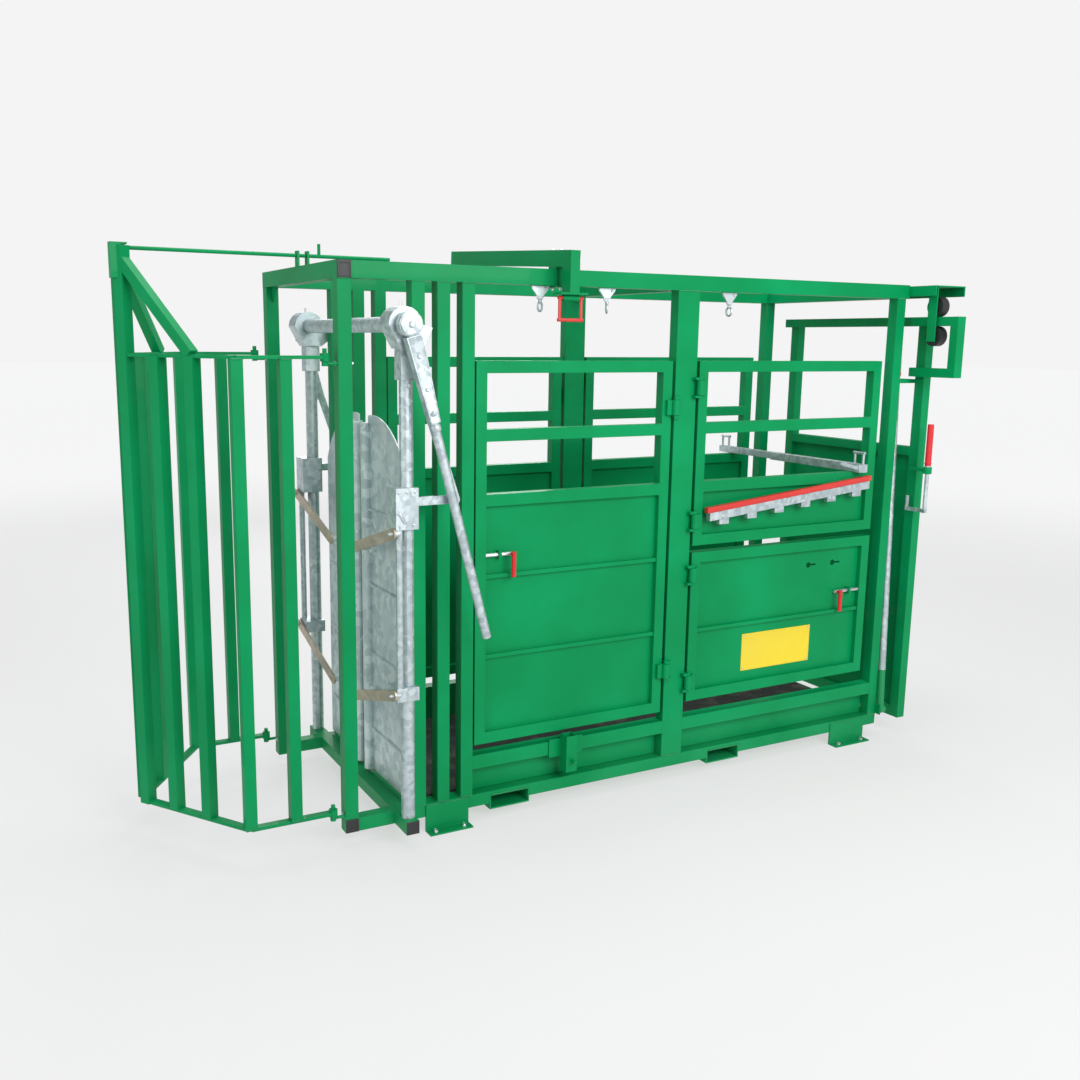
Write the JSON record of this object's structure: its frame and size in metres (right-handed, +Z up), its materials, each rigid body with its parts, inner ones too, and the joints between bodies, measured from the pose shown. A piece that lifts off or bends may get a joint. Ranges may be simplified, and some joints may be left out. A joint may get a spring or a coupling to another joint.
{
  "type": "cattle crush",
  "caption": "Welded steel cattle crush: tube race with side doors, sliding rear gate, toggle-link head gate and V-shaped exit gates.",
  "frame": {"origin": "on the floor under the middle of the whole object's box", "axes": "+X towards the rear gate, +Y towards the right side as the animal faces forward (the head end is -X), +Z up"},
  "size_m": [3.549, 1.32, 2.2419],
  "materials": {
    "green_paint": "gloss",
    "galvanised": "satin",
    "galvanised_sheet": "satin",
    "red_grip": "gloss",
    "black_plastic": "matte",
    "mat_rubber": "matte",
    "red_paint": "gloss"
  },
  "bodies": {
    "frame": {"centre_top_beam": "green_paint", "floor_deck": "green_paint", "floor_mat": "mat_rubber", "front_base_frame": "green_paint", "front_fork_tube": "green_paint", "front_top_beam": "green_paint", "hoof_boom": "green_paint", "hoof_socket": "green_paint", "left_bottom_rail": "green_paint", "left_centre_post": "green_paint", "left_front_post": "green_paint", "left_gate_upright": "galvanised", "left_kick_rail": "green_paint", "left_rear_post": "green_paint", "left_top_rail": "green_paint", "rear_fork_tube": "green_paint", "rear_top_beam": "green_paint", "right_bottom_rail": "green_paint", "right_centre_post": "green_paint", "right_front_post": "green_paint", "right_gate_upright": "galvanised", "right_kick_rail": "green_paint", "right_rear_post": "green_paint", "right_top_rail": "green_paint", "track_housing": "galvanised"},
    "left_exit_gate": {"left_exit_gate": "green_paint"},
    "right_exit_gate": {"right_exit_gate": "green_paint"},
    "exit_latch_rod": {"exit_latch_rod": "green_paint"},
    "left_head_door": {"left_head_door": "galvanised_sheet"},
    "right_head_door": {"right_head_door": "galvanised_sheet"},
    "left_carriage": {"left_lift_carriage": "galvanised"},
    "right_carriage": {"right_lift_carriage": "galvanised"},
    "left_upper_link": {"left_upper_link": "galvanised"},
    "left_lower_link": {"left_lower_link": "galvanised"},
    "right_upper_link": {"right_upper_link": "galvanised"},
    "right_lower_link": {"right_lower_link": "galvanised"},
    "lever_shaft": {"torsion_tube": "galvanised", "hand_lever": "galvanised"},
    "left_strap": {"left_lift_strap": "galvanised"},
    "right_strap": {"right_lift_strap": "galvanised"},
    "left_front_door": {"left_front_door": "green_paint"},
    "left_front_bolt": {"left_front_bolt": "red_paint"},
    "left_upper_door": {"left_upper_door": "green_paint", "left_rack": "galvanised", "left_rack_strip": "red_paint"},
    "left_lower_door": {"left_lower_door": "green_paint"},
    "left_lower_bolt": {"left_lower_bolt": "red_paint"},
    "right_front_door": {"right_front_door": "green_paint"},
    "right_upper_door": {"right_upper_door": "green_paint", "right_rack": "galvanised"},
    "right_lower_door": {"right_lower_door": "green_paint"},
    "rump_bar": {"rump_bar": "galvanised"},
    "rear_gate": {"rear_gate": "green_paint"},
    "gate_lever": {"gate_lever": "galvanised", "gate_lever_grip": "red_grip"},
    "latch_crank": {"latch_crank": "galvanised", "latch_grip": "red_grip"},
    "upper_roller": {"upper_roller": "black_plastic"},
    "lower_roller": {"lower_roller": "black_plastic"},
    "boom_bail": {"boom_bail": "red_paint"}
  },
  "joints": [
    {"name": "left_exit_hinge", "type": "hinge", "parent": "frame", "child": "left_exit_gate", "pos_m": [-1.1555, -0.405, 0.147], "axis": [0, 0, 1], "range_deg": [0, 90]},
    {"name": "right_exit_hinge", "type": "hinge", "parent": "frame", "child": "right_exit_gate", "pos_m": [-1.1555, 0.485, 0.147], "axis": [0, 0, -1], "range_deg": [0, 90]},
    {"name": "exit_latch_slide", "type": "slide", "parent": "frame", "child": "exit_latch_rod", "axis": [1, 0, 0], "range_m": [0, 0.12]},
    {"name": "left_door_slide", "type": "slide", "parent": "frame", "child": "left_head_door", "axis": [0, -1, 0], "range_m": [0, 0.33]},
    {"name": "right_door_slide", "type": "slide", "parent": "frame", "child": "right_head_door", "axis": [0, 1, 0], "range_m": [0, 0.33]},
    {"name": "left_lift", "type": "slide", "parent": "frame", "child": "left_carriage", "axis": [0, 0, 1], "range_m": [0, 0.32327]},
    {"name": "right_lift", "type": "slide", "parent": "frame", "child": "right_carriage", "axis": [0, 0, 1], "range_m": [0, 0.32327]},
    {"name": "left_upper_link_hinge", "type": "hinge", "parent": "left_carriage", "child": "left_upper_link", "pos_m": [-0.9605, -0.52, 1.19], "axis": [-1, 0, 0], "range_deg": [0, 59.09]},
    {"name": "left_lower_link_hinge", "type": "hinge", "parent": "left_carriage", "child": "left_lower_link", "pos_m": [-0.9605, -0.52, 0.6], "axis": [-1, 0, 0], "range_deg": [0, 59.09]},
    {"name": "right_upper_link_hinge", "type": "hinge", "parent": "right_carriage", "child": "right_upper_link", "pos_m": [-0.9605, 0.6, 1.19], "axis": [1, 0, 0], "range_deg": [0, 59.09]},
    {"name": "right_lower_link_hinge", "type": "hinge", "parent": "right_carriage", "child": "right_lower_link", "pos_m": [-0.9605, 0.6, 0.6], "axis": [1, 0, 0], "range_deg": [0, 59.09]},
    {"name": "hand_lever_hinge", "type": "hinge", "parent": "frame", "child": "lever_shaft", "pos_m": [-0.9105, -0.565, 1.908], "axis": [0, -1, 0], "range_deg": [0, 77.98]},
    {"name": "left_strap_hinge", "type": "hinge", "parent": "lever_shaft", "child": "left_strap", "pos_m": [-0.83027, -0.538, 1.60856], "axis": [0, 1, 0], "range_deg": [0, 119.22]},
    {"name": "right_strap_hinge", "type": "hinge", "parent": "lever_shaft", "child": "right_strap", "pos_m": [-0.83027, 0.618, 1.60856], "axis": [0, 1, 0], "range_deg": [0, 119.22]},
    {"name": "left_front_hinge", "type": "hinge", "parent": "frame", "child": "left_front_door", "pos_m": [0.302, -0.433, 0.313], "axis": [0, 0, 1], "range_deg": [0, 90]},
    {"name": "left_front_bolt_slide", "type": "slide", "parent": "left_front_door", "child": "left_front_bolt", "axis": [1, 0, 0], "range_m": [0, 0.04]},
    {"name": "left_upper_hinge", "type": "hinge", "parent": "frame", "child": "left_upper_door", "pos_m": [0.422, -0.433, 1.02], "axis": [0, 0, -1], "range_deg": [0, 90]},
    {"name": "left_lower_hinge", "type": "hinge", "parent": "frame", "child": "left_lower_door", "pos_m": [0.422, -0.433, 0.34], "axis": [0, 0, -1], "range_deg": [0, 90]},
    {"name": "left_lower_bolt_slide", "type": "slide", "parent": "left_lower_door", "child": "left_lower_bolt", "axis": [-1, 0, 0], "range_m": [0, 0.04]},
    {"name": "right_front_hinge", "type": "hinge", "parent": "frame", "child": "right_front_door", "pos_m": [0.302, 0.513, 0.313], "axis": [0, 0, -1], "range_deg": [0, 90]},
    {"name": "right_upper_hinge", "type": "hinge", "parent": "frame", "child": "right_upper_door", "pos_m": [0.422, 0.513, 1.02], "axis": [0, 0, 1], "range_deg": [0, 90]},
    {"name": "right_lower_hinge", "type": "hinge", "parent": "frame", "child": "right_lower_door", "pos_m": [0.422, 0.513, 0.34], "axis": [0, 0, 1], "range_deg": [0, 90]},
    {"name": "rump_bar_slide", "type": "slide", "parent": "frame", "child": "rump_bar", "axis": [-1, 0, 0], "range_m": [0, 0.7]},
    {"name": "rear_gate_slide", "type": "slide", "parent": "frame", "child": "rear_gate", "axis": [0, -1, 0], "range_m": [0, 0.7]},
    {"name": "gate_lever_hinge", "type": "hinge", "parent": "frame", "child": "gate_lever", "pos_m": [1.5895, -0.427, 0.134], "axis": [1, 0, 0], "range_deg": [0, 24.53]},
    {"name": "upper_roller_spin", "type": "hinge", "parent": "frame", "child": "upper_roller", "pos_m": [1.6265, -0.53, 2.0243], "axis": [-1, 0, 0], "range_deg": [0, 912.52]},
    {"name": "lower_roller_spin", "type": "hinge", "parent": "frame", "child": "lower_roller", "pos_m": [1.6265, -0.53, 1.8957], "axis": [1, 0, 0], "range_deg": [0, 912.52]},
    {"name": "latch_crank_hinge", "type": "hinge", "parent": "rear_gate", "child": "latch_crank", "pos_m": [1.6495, -0.54, 1.108], "axis": [0, 0, 1], "range_deg": [0, 90]},
    {"name": "boom_bail_hinge", "type": "hinge", "parent": "frame", "child": "boom_bail", "pos_m": [-0.2405, -0.495, 2.0138], "axis": [1, 0, 0], "range_deg": [-60, 60]}
  ],
  "couplings": [
    {"joint": "right_door_slide", "follows": "left_door_slide", "ratio": 1},
    {"joint": "left_lift", "follows": "left_door_slide", "ratio": 0.97809},
    {"joint": "left_upper_link_hinge", "follows": "left_door_slide", "rad_per_m": 3.1227},
    {"joint": "left_lower_link_hinge", "follows": "left_door_slide", "rad_per_m": 3.1227},
    {"joint": "left_strap_hinge", "follows": "left_door_slide", "rad_per_m": 6.3027},
    {"joint": "right_lift", "follows": "left_door_slide", "ratio": 0.97809},
    {"joint": "right_upper_link_hinge", "follows": "left_door_slide", "rad_per_m": 3.1227},
    {"joint": "right_lower_link_hinge", "follows": "left_door_slide", "rad_per_m": 3.1227},
    {"joint": "right_strap_hinge", "follows": "left_door_slide", "rad_per_m": 6.3027},
    {"joint": "hand_lever_hinge", "follows": "left_door_slide", "rad_per_m": 4.1219},
    {"joint": "gate_lever_hinge", "follows": "rear_gate_slide", "rad_per_m": 0.61034},
    {"joint": "upper_roller_spin", "follows": "rear_gate_slide", "rad_per_m": 22.727},
    {"joint": "lower_roller_spin", "follows": "rear_gate_slide", "rad_per_m": 22.727}
  ]
}
